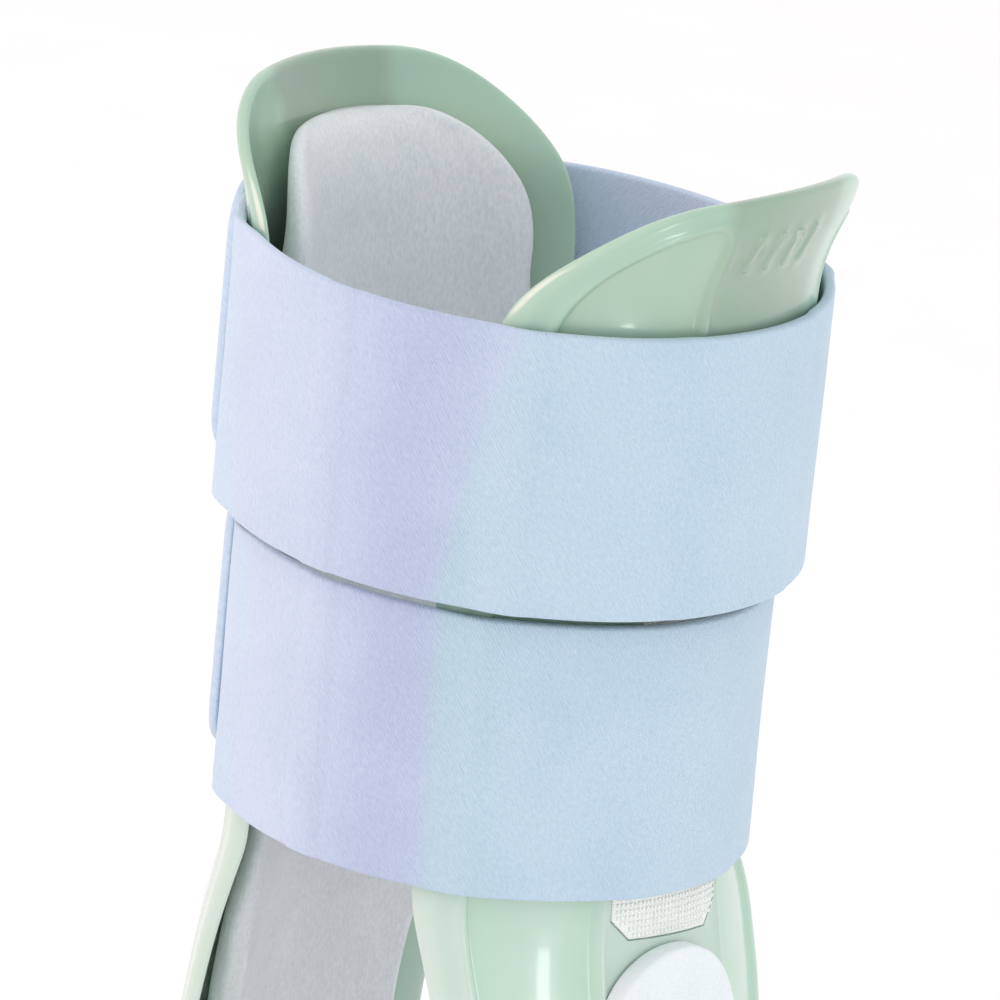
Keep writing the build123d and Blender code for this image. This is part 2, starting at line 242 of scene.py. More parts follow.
def rounding(distance, radius):
    """How far a face falls away this near its edge, for an edge of that radius."""
    return radius - np.sqrt(np.maximum(radius ** 2 - np.clip(radius - distance, 0, radius) ** 2, 0))


# ---- meshes --------------------------------------------------------------------------------------
def link(name, points, faces, sharp=40):
    """A new object from points in mm. Edges sharper than the angle stay crisp."""
    mesh = bpy.data.meshes.new(name)
    mesh.from_pydata((np.asarray(points, float) * MM).tolist(), [], [list(map(int, f)) for f in faces])
    mesh.validate()
    mesh.update()
    mesh.shade_smooth()
    mesh.set_sharp_from_angle(angle=math.radians(sharp))
    thing = bpy.data.objects.new(name, mesh)
    bpy.context.collection.objects.link(thing)
    return thing


def triangulate(loops, step):
    """Triangles inside the first loop that follow the other loops, with a lattice between them."""
    points = [p for loop in loops for p in loop]
    edges, first = [], 0
    for loop in loops:
        edges += [(first + i, first + (i + 1) % len(loop)) for i in range(len(loop))]
        first += len(loop)
    tree = KDTree(len(points))
    for i, p in enumerate(points):
        tree.insert((p[0], p[1], 0), i)
    tree.balance()
    low, high = loops[0].min(0), loops[0].max(0)
    rows = np.arange(low[1], high[1], step * 0.866)
    columns = np.arange(low[0], high[0], step)
    lattice = np.array([(y + (k % 2) * step / 2, z) for k, z in enumerate(rows) for y in columns])
    lattice = lattice[inside(lattice, loops[0]) > 0.5 * step]
    points += [p for p in lattice if tree.find((p[0], p[1], 0))[2] > 0.6 * step]
    made = delaunay_2d_cdt([Vector(p) for p in points], edges, [], 1, 1e-5)
    where = {source: i for i, sources in enumerate(made[3]) for source in sources}
    border = [where[i] for i in range(len(loops[0]))]
    return np.array([v[:] for v in made[0]]), [tuple(f) for f in made[2]], border


def plate(name, place, loops, near, far, side=1, step=2.0, back_loops=(), back_step=4.0, sharp=40):
    """A closed piece between two depths of a surface. The first loop is its clockwise outline."""
    front, front_faces, front_border = triangulate(loops, step)
    back, back_faces, back_border = triangulate([loops[0], *back_loops], back_step)
    n = len(front)
    points = np.vstack([place(*front.T, near(front)), place(*back.T, far(back))])
    faces = list(front_faces) + [tuple(n + i for i in f[::-1]) for f in back_faces]
    count = len(front_border)
    for i in range(count):
        j = (i + 1) % count
        faces.append((front_border[i], front_border[j], n + back_border[j], n + back_border[i]))
    if side < 0:
        points = points * (-1, 1, 1)
        faces = [f[::-1] for f in faces]
    return link(name, points, faces, sharp)


def sweep(name, rings, side=1):
    """A closed piece through rings of points, with flat ends."""
    rings = np.asarray(rings, float)
    count, around = rings.shape[:2]
    index = np.arange(count * around).reshape(count, around)
    faces = [(index[i, j], index[i, (j + 1) % around], index[i + 1, (j + 1) % around], index[i + 1, j])
             for i in range(count - 1) for j in range(around)]
    faces += [tuple(index[0][::-1]), tuple(index[-1])]
    points = rings.reshape(-1, 3)
    if side < 0:
        points = points * (-1, 1, 1)
        faces = [f[::-1] for f in faces]
    return link(name, points, faces)


def rounded_section(half_width, thickness, radius, step=2.0):
    """A flat strip's cross-section as (across, up) points, from one face's edge round to the start."""
    angles = np.radians(np.linspace(0, 90, 5))
    curve = np.stack([radius * np.sin(angles), radius * np.cos(angles)], -1)
    flat = np.linspace(-half_width + radius, half_width - radius, max(2, round(2 * half_width / step)))[:-1]
    top = np.stack([flat, np.full(len(flat), thickness)], -1)
    corner = curve + (half_width - radius, thickness - radius)
    upper = np.vstack([top, corner])
    lower = np.vstack([[(half_width, radius)], curve[::-1][1:] * (1, -1) + (half_width - radius, radius)])
    half = np.vstack([upper, lower[:-1]])
    return np.vstack([half, half * (-1, -1) + (0, thickness)])


# ---- camera --------------------------------------------------------------------------------------
AZIMUTH, ELEVATION, ROLL = math.radians(37.1), math.radians(18.27), math.radians(5.77)
PITCH, YAW = math.radians(1.01656), math.radians(-0.00986)
AIM, DISTANCE = Vector((0, 0, 0.156)), 1.3
LENS, SENSOR = 265.777, 36


def make_camera():
    """A long lens at the medial front, a little above the strap, rolled as the view is."""
    back = Vector((math.sin(AZIMUTH) * math.cos(ELEVATION), -math.cos(AZIMUTH) * math.cos(ELEVATION),
                   math.sin(ELEVATION)))
    right = Vector((math.cos(AZIMUTH), math.sin(AZIMUTH), 0))
    up = back.cross(right)
    c, s = math.cos(ROLL), math.sin(ROLL)
    right, up = c * right + s * up, -s * right + c * up
    camera = bpy.data.objects.new("Camera", bpy.data.cameras.new("Camera"))
    bpy.context.collection.objects.link(camera)
    camera.data.sensor_width = SENSOR
    camera.data.lens = LENS
    turn = Matrix((right, up, back)).transposed()
    # The camera looks a little above the aim point, since the photograph shows only the upper part.
    turn = turn @ Matrix.Rotation(PITCH, 3, "X") @ Matrix.Rotation(YAW, 3, "Y")
    camera.matrix_world = Matrix.Translation(AIM + back * DISTANCE) @ turn.to_4x4()
    camera.data.clip_start = 0.05
    camera.data.clip_end = 20
    bpy.context.scene.camera = camera


make_camera()


# ---- materials -----------------------------------------------------------------------------------
def linear(*levels):
    """A colour given by its three screen levels, 0 to 255, as a linear one."""
    return tuple(v / 255 / 12.92 if v <= 10 else ((v / 255 + 0.055) / 1.055) ** 2.4 for v in levels) + (1,)


class Paint:
    """A node material. Lengths in its textures are in mm."""

    def __init__(self, name, **sockets):
        self.material = bpy.data.materials.new(name)
        self.material.use_nodes = True
        self.tree = self.material.node_tree
        self.shader = self.tree.nodes["Principled BSDF"]
        for key, value in sockets.items():
            self.shader.inputs[key.replace("_", " ")].default_value = value
        self.height = None

    def node(self, kind, **settings):
        made = self.tree.nodes.new("ShaderNode" + kind)
        for key, value in settings.items():
            setattr(made, key, value)
        return made

    def join(self, out, into):
        self.tree.links.new(out, into)

    def math(self, operation, a, b=0.0):
        made = self.node("Math", operation=operation)
        for socket, value in zip(made.inputs, (a, b)):
            if isinstance(value, (int, float)):
                socket.default_value = value
            else:
                self.join(value, socket)
        return made.outputs[0]

    def place(self, scale=(1, 1, 1), turn=0.0, wrapped=False):
        """Object coordinates in mm; wrapped ones run round the leg, then up, then outwards."""
        source = self.node("TexCoord").outputs["Object"]
        if wrapped:
            split = self.node("SeparateXYZ")
            self.join(source, split.inputs[0])
            joined_up = self.node("CombineXYZ")
            round_leg = self.math("ARCTAN2", split.outputs[1], split.outputs[0])
            self.join(self.math("MULTIPLY", round_leg, LEG_RADIUS), joined_up.inputs[0])
            self.join(split.outputs[2], joined_up.inputs[1])
            source = joined_up.outputs[0]
        mapping = self.node("Mapping")
        self.join(source, mapping.inputs["Vector"])
        mapping.inputs["Scale"].default_value = [1000 * s for s in scale]
        if turn:
            first = mapping
            first.inputs["Scale"].default_value = (1, 1, 1)
            first.inputs["Rotation"].default_value = (0, 0, math.radians(turn))
            mapping = self.node("Mapping")
            self.join(first.outputs[0], mapping.inputs["Vector"])
            mapping.inputs["Scale"].default_value = [1000 * s for s in scale]
        return mapping.outputs[0]

    def noise(self, size, place=None, detail=3.0):
        """Cloudy noise whose blobs are about so many mm across."""
        made = self.node("TexNoise")
        made.inputs["Scale"].default_value = 1 / size
        made.inputs["Detail"].default_value = detail
        made.inputs["Roughness"].default_value = 0.55
        self.join(place or self.place(), made.inputs["Vector"])
        return made.outputs["Fac"]

    def wave(self, pitch, place, twist=0.0):
        """Ridges so many mm apart."""
        made = self.node("TexWave", wave_profile="SIN")
        made.inputs["Scale"].default_value = math.pi / 10 / pitch
        made.inputs["Distortion"].default_value = twist
        made.inputs["Detail"].default_value = 1.0
        made.inputs["Detail Scale"].default_value = 2.0
        self.join(place, made.inputs["Vector"])
        return made.outputs["Fac"]

    def ramp(self, value, *stops):
        """A colour for each value, from (position, colour) stops."""
        made = self.node("ValToRGB")
        ramp = made.color_ramp
        while len(ramp.elements) < len(stops):
            ramp.elements.new(0.5)
        for element, (at, colour) in zip(ramp.elements, stops):
            element.position, element.color = at, colour
        self.join(value, made.inputs[0])
        return made.outputs[0]

    def mix(self, amount, a, b, blend="MIX"):
        made = self.node("Mix", data_type="RGBA", blend_type=blend)
        for socket, value in ((made.inputs[0], amount), (made.inputs[6], a), (made.inputs[7], b)):
            if isinstance(value, (int, float, tuple)):
                socket.default_value = value
            else:
                self.join(value, socket)
        return made.outputs[2]

    def colour(self, value):
        self.join(value, self.shader.inputs["Base Color"])

    def bump(self, value, depth, strength=1.0):
        """Adds relief so many mm deep."""
        made = self.node("Bump")
        made.inputs["Distance"].default_value = depth * MM
        made.inputs["Strength"].default_value = strength
        self.join(value, made.inputs["Height"])
        if self.height is not None:
            self.join(self.height, made.inputs["Normal"])
        self.height = made.outputs[0]
        self.join(self.height, self.shader.inputs["Normal"])

    def roughness(self, value, low, high):
        """Lets the roughness wander between two values."""
        made = self.node("MapRange")
        made.inputs["To Min"].default_value = low
        made.inputs["To Max"].default_value = high
        self.join(value, made.inputs["Value"])
        self.join(made.outputs[0], self.shader.inputs["Roughness"])


def strap_cloth():
    """Brushed loop fabric, its nap combed along a slant. Painted light: bluer where a shell backs it and more
    lavender off it; painted shade darkens the front cloth on the medial side.
    """
    paint = Paint("strap_cloth", Roughness=0.85, Sheen_Weight=0.25, Sheen_Roughness=0.5, IOR=1.45)
    slant = paint.place((1.0, 0.34, 1.0), turn=-32, wrapped=True)
    fine = paint.noise(0.42, slant, detail=4)
    nap = paint.noise(1.3, slant, detail=3)
    broad = paint.noise(22, detail=2)
    # The cloth on the shell is painted bluer and the cloth off it more lavender: painted light, for how the
    # light falls on the front and round the shell's edge.
    resting_painted_light = paint.ramp(broad, (0.3, linear(175, 197, 214)), (0.7, linear(182, 203, 220)))
    # Darker copies of both tones: painted shade for the front cloth on the medial side.
    resting_painted_shade = paint.ramp(broad, (0.3, linear(152, 183, 191)), (0.7, linear(160, 190, 199)))
    free_painted_light = paint.ramp(broad, (0.3, linear(177, 193, 213)), (0.7, linear(184, 199, 219)))
    free_painted_shade = paint.ramp(broad, (0.3, linear(160, 172, 199)), (0.7, linear(168, 179, 206)))
    off_shell = paint.node("Attribute", attribute_name="off_shell").outputs["Fac"]
    # Painted shade: the fold value darkens the front cloth on the medial side.
    fold = paint.node("Attribute", attribute_name="fold").outputs["Fac"]
    base = paint.mix(fold, paint.mix(off_shell, resting_painted_light, free_painted_light), paint.mix(off_shell, resting_painted_shade, free_painted_shade))
    fibres = paint.ramp(fine, (0.25, linear(182, 195, 214)), (0.75, linear(240, 247, 252)))
    paint.colour(paint.mix(0.5, base, fibres, "SOFT_LIGHT"))
    rib = paint.wave(0.55, paint.place((1, 1, 1), turn=-32, wrapped=True), twist=3.0)
    paint.bump(nap, 0.16)
    paint.bump(fine, 0.10)
    paint.bump(rib, 0.05)
    return paint.material


def shell_plastic():
    """Translucent pale green moulded plastic. The recessed panels are thinner and look deeper. Painted shade
    lines each panel's step and darkens the middle band near the top; the plastic is also painted darker and
    greener up high, partly as painted light.
    """
    paint = Paint("shell_plastic", Roughness=0.3, IOR=1.5, Subsurface_Weight=0.15, Subsurface_Scale=0.004,
                  Coat_Weight=0.6, Coat_Roughness=0.08)
    paint.shader.inputs["Subsurface Radius"].default_value = (0.8, 1.0, 0.8)
    tone = paint.node("Attribute", attribute_name="tone").outputs["Fac"]
    cloud = paint.noise(30, detail=2)
    low_light = paint.ramp(cloud, (0.3, linear(186, 208, 196)), (0.7, linear(193, 214, 203)))
    low_deep = paint.ramp(cloud, (0.3, linear(178, 211, 191)), (0.7, linear(187, 216, 199)))
    high_rim = paint.ramp(cloud, (0.3, linear(161, 193, 174)), (0.7, linear(169, 201, 182)))
    # Painted shade: the middle band is painted darker near the top than the rims and panels beside it.
    high_band_painted_shade = paint.ramp(cloud, (0.3, linear(144, 168, 150)), (0.7, linear(152, 176, 158)))
    high_rim_and_band_shade = paint.mix(paint.node("Attribute", attribute_name="band").outputs["Fac"], high_rim, high_band_painted_shade)
    high_deep = paint.ramp(cloud, (0.3, linear(164, 192, 170)), (0.7, linear(171, 198, 180)))
    # Painted darker and greener up high and lighter and bluer low down; part of this is painted light.
    split = paint.node("SeparateXYZ")
    paint.join(paint.node("TexCoord").outputs["Object"], split.inputs[0])
    height = paint.node("MapRange")
    height.inputs["From Min"].default_value = 0.115
    height.inputs["From Max"].default_value = 0.225
    paint.join(split.outputs[2], height.inputs["Value"])
    paint.colour(paint.mix(height.outputs[0], paint.mix(tone, low_light, low_deep),
                           paint.mix(tone, high_rim_and_band_shade, high_deep)))
    paint.roughness(paint.noise(20, detail=1), 0.2, 0.3)
    paint.bump(paint.noise(14, detail=2), 0.12, 0.4)
    return paint.material


def hook_tape():
    """Woven nylon base of the hook tape: fine cords along it, with a faint cross weave."""
    paint = Paint("hook_tape", Roughness=0.55, IOR=1.5)
    down = paint.wave(0.8, paint.place((1, 1, 1), wrapped=True))
    cross = paint.wave(0.45, paint.place((1, 1, 1), turn=90, wrapped=True))
    tint = paint.noise(3, detail=4)
    base = paint.ramp(tint, (0.3, linear(246, 251, 246)), (0.7, linear(253, 255, 253)))
    paint.colour(paint.mix(paint.math("MULTIPLY", down, 0.15), base, linear(228, 238, 231)))
    paint.bump(down, 0.12)
    paint.bump(cross, 0.06)
    return paint.material


def heel_cloth():
    """Smooth tricot face of the heel strap's laminate."""
    paint = Paint("heel_cloth", Roughness=0.8, Sheen_Weight=0.2, IOR=1.45)
    fine = paint.noise(0.5, paint.place((1, 0.6, 1)), detail=4)
    broad = paint.noise(12, detail=2)
    base = paint.ramp(broad, (0.3, linear(224, 233, 236)), (0.7, linear(232, 239, 241)))
    fibres = paint.ramp(fine, (0.2, linear(205, 216, 222)), (0.8, linear(246, 250, 252)))
    paint.colour(paint.mix(0.35, base, fibres))
    rows = paint.wave(0.6, paint.place((0, 1, 0), turn=90))
    paint.bump(rows, 0.04)
    paint.bump(fine, 0.08)
    return paint.material


def laminate_edge_painted_shade():
    """The heel strap's cut edge, where its closed-cell foam shows in the bump; its colour is painted darker
    than the strap's face, painted shade of the side wall.
    """
    cell = 0.7
    paint = Paint("laminate_edge_painted_shade", Roughness=0.9, IOR=1.4)
    cells = paint.node("TexVoronoi")
    cells.inputs["Scale"].default_value = 1 / cell
    paint.join(paint.place(), cells.inputs["Vector"])
    grain = paint.noise(2.0, detail=5)
    # Painted shade: the edge is painted darker than the strap's face, for the side wall turned from the
    # light.
    paint.colour(paint.ramp(grain, (0.3, linear(176, 194, 200)), (0.7, linear(196, 212, 216))))
    paint.bump(cells.outputs["Distance"], 0.15)
    paint.bump(grain, 0.1)
    return paint.material


def liner_cloth():
    """Soft brushed cover of the padded liners."""
    paint = Paint("liner_cloth", Roughness=0.9, Sheen_Weight=0.35, IOR=1.4)
    knit = paint.noise(0.6, paint.place((1, 1, 0.5)), detail=4)
    broad = paint.noise(18, detail=3)
    base = paint.ramp(broad, (0.3, linear(214, 220, 224)), (0.7, linear(228, 232, 235)))
    stitches = paint.ramp(knit, (0.25, linear(190, 198, 204)), (0.75, linear(243, 246, 248)))
    paint.colour(paint.mix(0.4, base, stitches))
    paint.bump(knit, 0.12)
    paint.bump(paint.noise(5, detail=3), 0.5, 0.5)
    return paint.material


PAINTS = {
    "strap": strap_cloth(),
    "shell": shell_plastic(),
    "hook": hook_tape(),
    "heel": heel_cloth(),
    "edge": laminate_edge_painted_shade(),
    "liner": liner_cloth(),
}


def dress(thing, paint, body=None, replaces=()):
    """Gives a piece its paints, and says what it rides on and what it replaces."""
    thing.data.materials.clear()
    for key in (paint if isinstance(paint, tuple) else (paint,)):
        thing.data.materials.append(PAINTS[key])
    if body:
        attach(thing, body)
    if replaces:
        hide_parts(*replaces)
    return thing


# ---- shells --------------------------------------------------------------------------------------
ARCH, STRIP, POCKET = arch(0), strip(0), strip(POCKET_MARGIN)
PANELS = [
    panel([(24, 232), (24, 237), (25.5, 239.8), (28.5, 238.4)],
          [(28.5, 238.4), (35, 235.4), (38.4, 227), (38.4, 214)], 1),
    panel([(13.6, 239), (13.6, 242.5), (14.6, 244.8), (18, 244.4)],
          [(18, 244.4), (30, 242.6), (38.4, 234), (38.4, 214)], -1),
]
PATCH = slot_shape((0, (PATCH_TOP + PATCH_BOTTOM) / 2), PATCH_TOP - PATCH_BOTTOM, 2 * PATCH_HALF, 90)
# Four plain ribs stand near the shell's top edge.
RIBS = [slot_shape((y, 239), 7, 1.6, 75) for y in (-7.5, -2.5, 2.5, 7.5)]


def in_panel(points):
    """How far inside a recessed panel each point lies."""
    return np.maximum(inside(points, PANELS[0]), inside(points, PANELS[1]))


def shell_near(points):
    """Depth of the shell's outer face: round rim, sunk panels with a bead round them, pockets, ribs."""
    within = in_panel(points)
    depth = PANEL_DEPTH * smooth((within + 0.15) / 1.3)
    depth -= 0.34 * np.exp(-((within + 0.85) / 0.55) ** 2)
    pocket = np.maximum(inside(points, POCKET), inside(points, PATCH))
    depth = np.where(pocket > -0.02, POCKET_DEPTH * np.clip(pocket / 0.08, 0, 1), depth)
    for rib in RIBS:
        depth -= 0.4 * smooth((inside(points, rib) + 0.35) / 0.6)
    return depth + rounding(inside(points, ARCH), RIM_ROUND)


def shell_far(points):
    """Depth of the shell's inner face."""
    return SHELL_WALL - rounding(inside(points, ARCH), 0.8)


def store(thing, name, values):
    """Keeps a value between 0 and 1 at each vertex, for a material to read."""
    attribute = thing.data.attributes.new(name, "FLOAT", "POINT")
    attribute.data.foreach_set("value", np.clip(values, 0, 1).astype(np.float32))


def tone_shell(thing):
    """Stores how deep each point lies in a panel, with painted shade along each panel's step, and how near
    the middle band, for painted shade on the band; the plastic's colour reads both.
    """
    co = np.array([v.co for v in thing.data.vertices]) / MM
    within = in_panel(co[:, 1:])
    tone = smooth((within + 0.4) / 1.6) * (1 - 0.45 * smooth((within - 2) / 9))
    # Painted shade: a narrow rise along each panel's edge gives the step a dark line.
    tone += 0.55 * np.exp(-((within + 0.1) / 0.45) ** 2)
    store(thing, "tone", tone)
    # Painted shade: the middle band is painted darker near the top.
    store(thing, "band", smooth((18 - np.abs(co[:, 1])) / 5))


def make_shell(side):
    """One moulded side shell, with mesh lines along every rim, bead and pocket."""
    name = SIDES[side] + "_shell"
    loops = [inset(ARCH, d) for d in (0, 0.06, 0.2, 0.45, 0.75, 1.05, 1.6, 2.4)]
    for outline in PANELS:
        loops += [inset(outline, d) for d in (-1.6, -1.2, -0.85, -0.5, -0.15, 0.2, 0.55, 0.9, 1.2, 1.8)]
    loops += [POCKET, inset(POCKET, 0.08), PATCH, inset(PATCH, 0.08)]
    loops += [inset(rib, d) for rib in RIBS for d in (-0.35, -0.1, 0.2)]
    back = [inset(ARCH, d) for d in (0.06, 0.2, 0.45, 0.8, 1.6)]
    thing = plate(name + "_moulding", shell_place, loops, shell_near, shell_far, side, 2.0, back, 3.0)
    tone_shell(thing)
    return dress(thing, "shell", SIDES[side] + "_side", [name])


def surface_normal(y, z):
    """The way out of the shell's outer face."""
    e = 0.05
    p = shell_place(y, z, 0)
    across = shell_place(y + e, z, 0) - p
    up = shell_place(y, z + e, 0) - p
    n = np.cross(across, up)
    return n / np.linalg.norm(n, axis=-1)[:, None]


def hook_pins(centres, base_depth, place, normal, height=0.5, width=0.5, length=0.5):
    """Many little bent hooks on a surface, as points and faces."""
    y, z = centres[:, 0], centres[:, 1]
    root = place(y, z, np.full(len(y), base_depth))
    out = normal(y, z)
    up = np.array([0, 0, 1.0]) - out * out[:, 2:3]
    up /= np.linalg.norm(up, axis=1)[:, None]
    across = np.cross(up, out)
    rings = []
    for lift, lean, share in ((-0.05, 0.0, 1.0), (0.6, 0.0, 0.95), (1.0, 0.22, 0.8)):
        for u, v in ((-1, -1), (1, -1), (1, 1), (-1, 1)):
            rings.append(root + out * height * lift + across * (u * width / 2 * share)
                         + up * (v * length / 2 * share + lean))
    points = np.stack(rings, 1).reshape(-1, 3)
    faces = []
    for k in range(len(y)):
        b = 12 * k
        for level in (0, 4):
            for i in range(4):
                j = (i + 1) % 4
                faces.append((b + level + i, b + level + j, b + level + 4 + j, b + level + 4 + i))
        faces.append((b + 8, b + 9, b + 10, b + 11))
        faces.append((b + 3, b + 2, b + 1, b))
    return points, faces


def make_hook_strip(side):
    """The strip of hook tape in its pocket. Hooks stand only where the straps leave it bare."""
    name = SIDES[side] + "_hook_strip"

    def near(points):
        return -HOOK_PROUD + 0.2 * rounding(inside(points, STRIP), 0.7) / 0.7

    loops = [inset(STRIP, d) for d in (0, 0.15, 0.4, 0.8)]
    thing = plate(name + "_tape", shell_place, loops, near, lambda p: np.full(len(p), POCKET_DEPTH),
                  side, 3.0)
    columns = np.arange(-13.3, 13.4, 0.95)
    rows = np.concatenate([np.arange(112.4, 128, 1.15), np.arange(168, 182, 1.15)])
    centres = np.array([(y, z + STRIP_SLOPE * y) for z in rows for y in columns])
    centres = centres[inside(centres, STRIP) > 0.6]
    centres = centres + random.normal(0, 0.03, centres.shape)
    points, faces = hook_pins(centres, -HOOK_PROUD, shell_place, surface_normal)
    if side < 0:
        points = points * (-1, 1, 1)
        faces = [f[::-1] for f in faces]
    pins = link(name + "_hooks", points, faces, 30)
    dress(pins, "hook", SIDES[side] + "_side")
    return dress(thing, "hook", SIDES[side] + "_side", [name])


for s in SIDES:
    make_shell(s)
    make_hook_strip(s)


# ---- liners and heel pad: padded pieces blown up as cloth ----------------------------------------
def puff(thing, cap, pressure=4.0, held=None):
    """Lets the piece swell like a filled cover, and keeps each point within the cap (mm) of its place."""
    before = np.array([v.co for v in thing.data.vertices])
    modifier = thing.modifiers.new("Cloth", "CLOTH")
    settings = modifier.settings
    settings.use_pressure = True
    settings.uniform_pressure_force = pressure
    settings.effector_weights.gravity = 0
    settings.quality = 4
    modifier.collision_settings.use_collision = False
    if held is not None:
        group = thing.vertex_groups.new(name="held")
        group.add([int(i) for i in np.nonzero(held)[0]], 1.0, "REPLACE")
        settings.vertex_group_mass = "held"
    scene = bpy.context.scene
    for number in range(1, 21):
        scene.frame_set(number)
    evaluated = thing.evaluated_get(bpy.context.evaluated_depsgraph_get())
    after = np.array([v.co for v in evaluated.data.vertices])
    thing.modifiers.remove(modifier)
    scene.frame_set(1)
    move = after - before
    size = np.linalg.norm(move, axis=1)[:, None]
    move *= np.minimum(1, cap * MM / np.maximum(size, 1e-9))
    thing.data.vertices.foreach_set("co", (before + move).ravel())
    thing.data.update()


def make_liner(side):
    """The padded liner of one shell, drawn slightly small, because it swells."""
    name = SIDES[side] + "_liner"
    outline = arch(LINER_INSET + 0.6)[::2]

    def near(points):
        return LINER_NEAR + 1.2 + 1.9 * rounding(inside(points, outline), 3.2) / 3.2

    def far(points):
        return LINER_FAR - 1.5 - 2.2 * rounding(inside(points, outline), 4.5) / 4.5

    rings = [inset(outline, d) for d in (0.5, 1.2, 2.2, 3.5)]
    thing = plate(name + "_cushion", shell_place, [outline, *rings], near, far, side, 3.2, rings, 3.2, 80)
    puff(thing, 1.3)
    return dress(thing, "liner", SIDES[side] + "_side", [name + "_cover", name + "_foam"])


def make_heel_pad():
    """The padded cushion under the heel, with round corners."""
    swell, round_off = 0.8, 9
    half_x, half_y = PAD_SIZE[0] / 2 - swell, PAD_SIZE[1] / 2 - swell
    angles = np.radians(np.linspace(90, 0, 12))
    corner = np.stack([half_x - round_off + round_off * np.cos(angles),
                       half_y - round_off + round_off * np.sin(angles)], -1)
    quarter = np.vstack([run([(0, half_y), (half_x - round_off, half_y)], 2.0)[:-1], corner,
                         run([(half_x, half_y - round_off), (half_x, 0)], 2.0)[1:]])
    outline = mirrored(np.vstack([quarter, (quarter * (1, -1))[::-1][1:]]))

    def place(x, y, height):
        return np.stack([x, y, height], -1)

    def top(points):
        return PAD_HIGH - 0.9 - 1.9 * rounding(inside(points, outline), 4.5) / 4.5

    def bottom(points):
        return PAD_LOW + 0.05 + 1.2 * rounding(inside(points, outline), 2.5) / 2.5

    rings = [inset(outline, d) for d in (0.6, 1.5, 2.8, 4.3)]
    thing = plate("heel_pad_cushion", place, [outline, *rings], top, bottom, 1, 3.0, rings, 3.0, 80)
    low = np.array([v.co.z for v in thing.data.vertices]) < (PAD_LOW + 0.3) * MM
    puff(thing, 0.9, held=low)
    return dress(thing, "liner", "heel_base", ["heel_pad"])


soft = [make_liner(s) for s in SIDES] + [make_heel_pad()]


# ---- heel strap ----------------------------------------------------------------------------------
def make_heel_half(side):
    """One half of the heel strap, from under the pad up to where its end can be peeled off."""
    section = rounded_section(HEEL_HALF, HEEL_WALL, 0.55, 1.5)
    y, t = section[:, 0] + HEEL_Y, section[:, 1]
    rings = []
    for x in np.append(np.arange(0, FOLD_X, 2.0), FOLD_X):
        rings.append(np.stack([np.full(len(y), x), y, HEEL_WALL - t], -1))
    for angle in np.radians(np.arange(7.5, 90, 7.5)):
        r = BEND_NEAR + t
        rings.append(np.stack([FOLD_X + r * math.sin(angle), y,
                               BEND_NEAR + HEEL_WALL - r * math.cos(angle)], -1))
    low = BEND_NEAR + HEEL_WALL
    for z in np.linspace(low, HEEL_SPLIT, 60):
        curved = shell_place(y, np.full(len(y), z), -HEEL_NEAR - t)
        flat = np.stack([FOLD_X + BEND_NEAR + t, y, np.full(len(y), z)], -1)
        w = smooth((z - low) / 14)
        rings.append(flat + (curved - flat) * w)
    thing = sweep(SIDES[side] + "_heel_strap_half", np.array(rings)[:, ::-1], side)
    mark_edges(thing)
    dress(thing, ("heel", "edge"),
          replaces=["heel_strap_sole", SIDES[side] + "_heel_riser"])
    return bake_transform(thing)


def mark_edges(thing):
    """Gives the cut edge's material, painted darker as shade, to the faces on the strap's edges."""
    for face in thing.data.polygons:
        if abs(face.normal.y) > 0.8:
            face.material_index = 1


def make_heel_end(side):
    """The heel strap's round end."""
    outline = heel_tab_shape(HEEL_SPLIT)
    whole = heel_tab_shape(HEEL_SPLIT - 20)

    def near(points):
        edge = inside(points, whole)
        return -HEEL_NEAR - HEEL_WALL + rounding(edge, 0.6) - 0.12 * smooth(edge / 6)

    def far(points):
        return -HEEL_NEAR - rounding(inside(points, whole), 0.4)

    loops = [outline] + [inset(outline, d) for d in (0.05, 0.18, 0.4, 0.65, 1.2)]
    thing = plate(SIDES[side] + "_heel_strap_end", shell_place, loops, near, far, side, 1.5, loops[1:5], 3.0)
    co = np.array([v.co for v in thing.data.vertices]) / MM
    edge = inside(co[:, 1:], whole)
    # The rim faces take the edge material, painted darker as shade of the side wall.
    for face in thing.data.polygons:
        if edge[list(face.vertices)].max() < 0.12:
            face.material_index = 1
    dress(thing, ("heel", "edge"), replaces=[SIDES[side] + "_heel_tab"])
    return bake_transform(thing)


for s in SIDES:
    make_heel_half(s)
    make_heel_end(s)


# ---- wide straps ---------------------------------------------------------------------------------
def strap_links(size):
    """The strap's path as arcs (centre, inner radius, from, to): start, front, medial side, back, lap."""
    reach, radius, depth = size
    k = radius - reach
    lap = STRAP_WALL + LAP_GAP
    turn = (radius ** 2 - k ** 2 - depth ** 2) / (2 * (radius - depth))
    front = depth - turn
    back_x = -(2 * lap * (radius - turn) + lap ** 2) / (4 * k)
    back_y = math.sqrt((radius - turn) ** 2 - (back_x + k) ** 2)
    leave = math.degrees(math.atan2(front, k))
    rear = math.degrees(math.atan2(back_y, back_x + k))
    arrive = math.degrees(math.atan2(back_y, back_x - k))
    start = 180 - math.degrees(math.asin(LAP_START_Y / radius))
    end = 180 - math.degrees(math.asin(TAB_START_Y / (radius + lap)))
    back_cut = math.degrees(math.acos(-back_x / (turn + STRAP_WALL / 2)))
    return {
        "lateral_front": [((k, 0), radius, start, 180 + leave), ((0, -front), turn, 180 + leave, 270)],
        "medial": [((0, -front), turn, 270, 360 - leave), ((-k, 0), radius, -leave, rear),
                   ((back_x, back_y), turn, rear, back_cut)],
        "lateral_back": [((back_x, back_y), turn, back_cut, arrive), ((k, 0), radius + lap, arrive, end)],
    }


